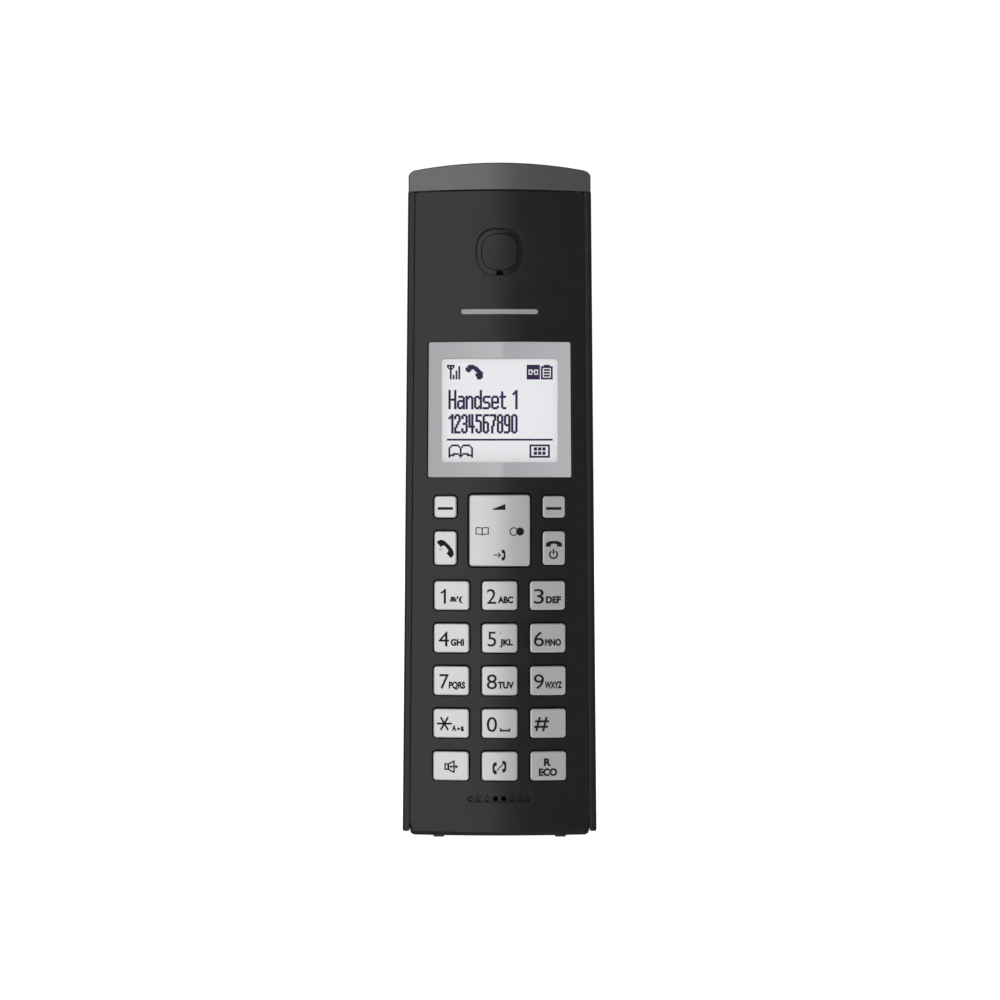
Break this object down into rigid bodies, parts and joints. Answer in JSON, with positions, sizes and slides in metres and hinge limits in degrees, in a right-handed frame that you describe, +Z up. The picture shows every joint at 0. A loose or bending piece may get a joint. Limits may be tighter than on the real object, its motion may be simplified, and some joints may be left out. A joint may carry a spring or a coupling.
{
  "type": "cordless phone handset",
  "caption": "Slim upright cordless telephone handset with a display, a four-way rocker, a dialling keypad and a sliding battery cover.",
  "frame": {"origin": "centre of the footprint, on the surface that the feet stand on", "axes": "+Z up towards the earpiece, +Y from the keypad towards the back, +X to the right as seen from the keypad"},
  "size_m": [0.0488, 0.0259, 0.1689],
  "materials": {
    "charcoal_plastic": "satin",
    "graphite_cap": "satin metallic",
    "silver_keys": "satin silver",
    "smoked_window": "gloss, printed silver round a clear middle",
    "lcd_glass": "satin",
    "white_plastic": "satin",
    "clear_plastic": "polished",
    "amber_film": "polished",
    "keypad_rubber": "matt",
    "board_laminate": "satin",
    "plated_steel": "bright nickel",
    "chip_black": "matt",
    "driver_grey": "satin",
    "black_rubber": "matt",
    "cell_wrap": "printed film"
  },
  "bodies": {
    "handset": {"front_cover": "charcoal_plastic", "rear_cover": "charcoal_plastic", "side_trim_left": "charcoal_plastic", "side_trim_right": "charcoal_plastic", "top_cap": "graphite_cap", "display_window": "smoked_window", "lcd_panel": "lcd_glass", "lcd_holder": "white_plastic", "light_guide": "clear_plastic", "display_ribbon": "amber_film", "keypad_mat": "keypad_rubber", "main_board": "board_laminate", "dome_switches": "plated_steel", "shield_can": "plated_steel", "antenna": "plated_steel", "microphone": "plated_steel", "battery_springs": "plated_steel", "battery_plates": "plated_steel", "charge_contact_left": "plated_steel", "charge_contact_right": "plated_steel", "case_screws": "plated_steel", "board_chips": "chip_black", "earpiece_receiver": "driver_grey", "loudspeaker": "driver_grey", "earpiece_gasket": "black_rubber", "microphone_boot": "black_rubber", "loudspeaker_gasket": "black_rubber", "battery_cell_left": "cell_wrap", "battery_cell_right": "cell_wrap"},
    "key_1": {"key_1": "silver_keys"},
    "key_2": {"key_2": "silver_keys"},
    "key_3": {"key_3": "silver_keys"},
    "key_4": {"key_4": "silver_keys"},
    "key_5": {"key_5": "silver_keys"},
    "key_6": {"key_6": "silver_keys"},
    "key_7": {"key_7": "silver_keys"},
    "key_8": {"key_8": "silver_keys"},
    "key_9": {"key_9": "silver_keys"},
    "key_star": {"key_star": "silver_keys"},
    "key_0": {"key_0": "silver_keys"},
    "key_hash": {"key_hash": "silver_keys"},
    "key_speaker": {"key_speaker": "silver_keys"},
    "key_intercom": {"key_intercom": "silver_keys"},
    "key_recall": {"key_recall": "silver_keys"},
    "soft_key_left": {"soft_key_left": "silver_keys"},
    "soft_key_right": {"soft_key_right": "silver_keys"},
    "talk_key": {"talk_key": "silver_keys"},
    "end_key": {"end_key": "silver_keys"},
    "nav_post": {"nav_post": "keypad_rubber"},
    "nav_key": {"nav_key": "silver_keys"},
    "battery_cover": {"battery_cover": "charcoal_plastic"}
  },
  "joints": [
    {"name": "key_1_press", "type": "slide", "parent": "handset", "child": "key_1", "axis": [0, 1, 0], "range_m": [0, 0.0006], "stiffness_N_per_m": 500, "springref_m": -0.0005},
    {"name": "key_2_press", "type": "slide", "parent": "handset", "child": "key_2", "axis": [0, 1, 0], "range_m": [0, 0.0006], "stiffness_N_per_m": 500, "springref_m": -0.0005},
    {"name": "key_3_press", "type": "slide", "parent": "handset", "child": "key_3", "axis": [0, 1, 0], "range_m": [0, 0.0006], "stiffness_N_per_m": 500, "springref_m": -0.0005},
    {"name": "key_4_press", "type": "slide", "parent": "handset", "child": "key_4", "axis": [0, 1, 0], "range_m": [0, 0.0006], "stiffness_N_per_m": 500, "springref_m": -0.0005},
    {"name": "key_5_press", "type": "slide", "parent": "handset", "child": "key_5", "axis": [0, 1, 0], "range_m": [0, 0.0006], "stiffness_N_per_m": 500, "springref_m": -0.0005},
    {"name": "key_6_press", "type": "slide", "parent": "handset", "child": "key_6", "axis": [0, 1, 0], "range_m": [0, 0.0006], "stiffness_N_per_m": 500, "springref_m": -0.0005},
    {"name": "key_7_press", "type": "slide", "parent": "handset", "child": "key_7", "axis": [0, 1, 0], "range_m": [0, 0.0006], "stiffness_N_per_m": 500, "springref_m": -0.0005},
    {"name": "key_8_press", "type": "slide", "parent": "handset", "child": "key_8", "axis": [0, 1, 0], "range_m": [0, 0.0006], "stiffness_N_per_m": 500, "springref_m": -0.0005},
    {"name": "key_9_press", "type": "slide", "parent": "handset", "child": "key_9", "axis": [0, 1, 0], "range_m": [0, 0.0006], "stiffness_N_per_m": 500, "springref_m": -0.0005},
    {"name": "key_star_press", "type": "slide", "parent": "handset", "child": "key_star", "axis": [0, 1, 0], "range_m": [0, 0.0006], "stiffness_N_per_m": 500, "springref_m": -0.0005},
    {"name": "key_0_press", "type": "slide", "parent": "handset", "child": "key_0", "axis": [0, 1, 0], "range_m": [0, 0.0006], "stiffness_N_per_m": 500, "springref_m": -0.0005},
    {"name": "key_hash_press", "type": "slide", "parent": "handset", "child": "key_hash", "axis": [0, 1, 0], "range_m": [0, 0.0006], "stiffness_N_per_m": 500, "springref_m": -0.0005},
    {"name": "key_speaker_press", "type": "slide", "parent": "handset", "child": "key_speaker", "axis": [0, 1, 0], "range_m": [0, 0.0006], "stiffness_N_per_m": 500, "springref_m": -0.0005},
    {"name": "key_intercom_press", "type": "slide", "parent": "handset", "child": "key_intercom", "axis": [0, 1, 0], "range_m": [0, 0.0006], "stiffness_N_per_m": 500, "springref_m": -0.0005},
    {"name": "key_recall_press", "type": "slide", "parent": "handset", "child": "key_recall", "axis": [0, 1, 0], "range_m": [0, 0.0006], "stiffness_N_per_m": 500, "springref_m": -0.0005},
    {"name": "soft_key_left_press", "type": "slide", "parent": "handset", "child": "soft_key_left", "axis": [0, 1, 0], "range_m": [0, 0.0006], "stiffness_N_per_m": 500, "springref_m": -0.0005},
    {"name": "soft_key_right_press", "type": "slide", "parent": "handset", "child": "soft_key_right", "axis": [0, 1, 0], "range_m": [0, 0.0006], "stiffness_N_per_m": 500, "springref_m": -0.0005},
    {"name": "talk_key_press", "type": "slide", "parent": "handset", "child": "talk_key", "axis": [0, 1, 0], "range_m": [0, 0.0006], "stiffness_N_per_m": 500, "springref_m": -0.0005},
    {"name": "end_key_press", "type": "slide", "parent": "handset", "child": "end_key", "axis": [0, 1, 0], "range_m": [0, 0.0006], "stiffness_N_per_m": 500, "springref_m": -0.0005},
    {"name": "nav_tilt_up_down", "type": "hinge", "parent": "handset", "child": "nav_post", "pos_m": [0, -0.0082, 0.07685], "axis": [1, 0, 0], "range_deg": [-2.2, 2.2], "stiffness_Nm_per_rad": 0.05},
    {"name": "nav_tilt_left_right", "type": "hinge", "parent": "nav_post", "child": "nav_key", "pos_m": [0, -0.0082, 0.07685], "axis": [0, 0, 1], "range_deg": [-2.2, 2.2], "stiffness_Nm_per_rad": 0.05},
    {"name": "battery_cover_slide", "type": "slide", "parent": "handset", "child": "battery_cover", "axis": [0, 0.0414, -0.9991], "range_m": [0, 0.075]}
  ]
}
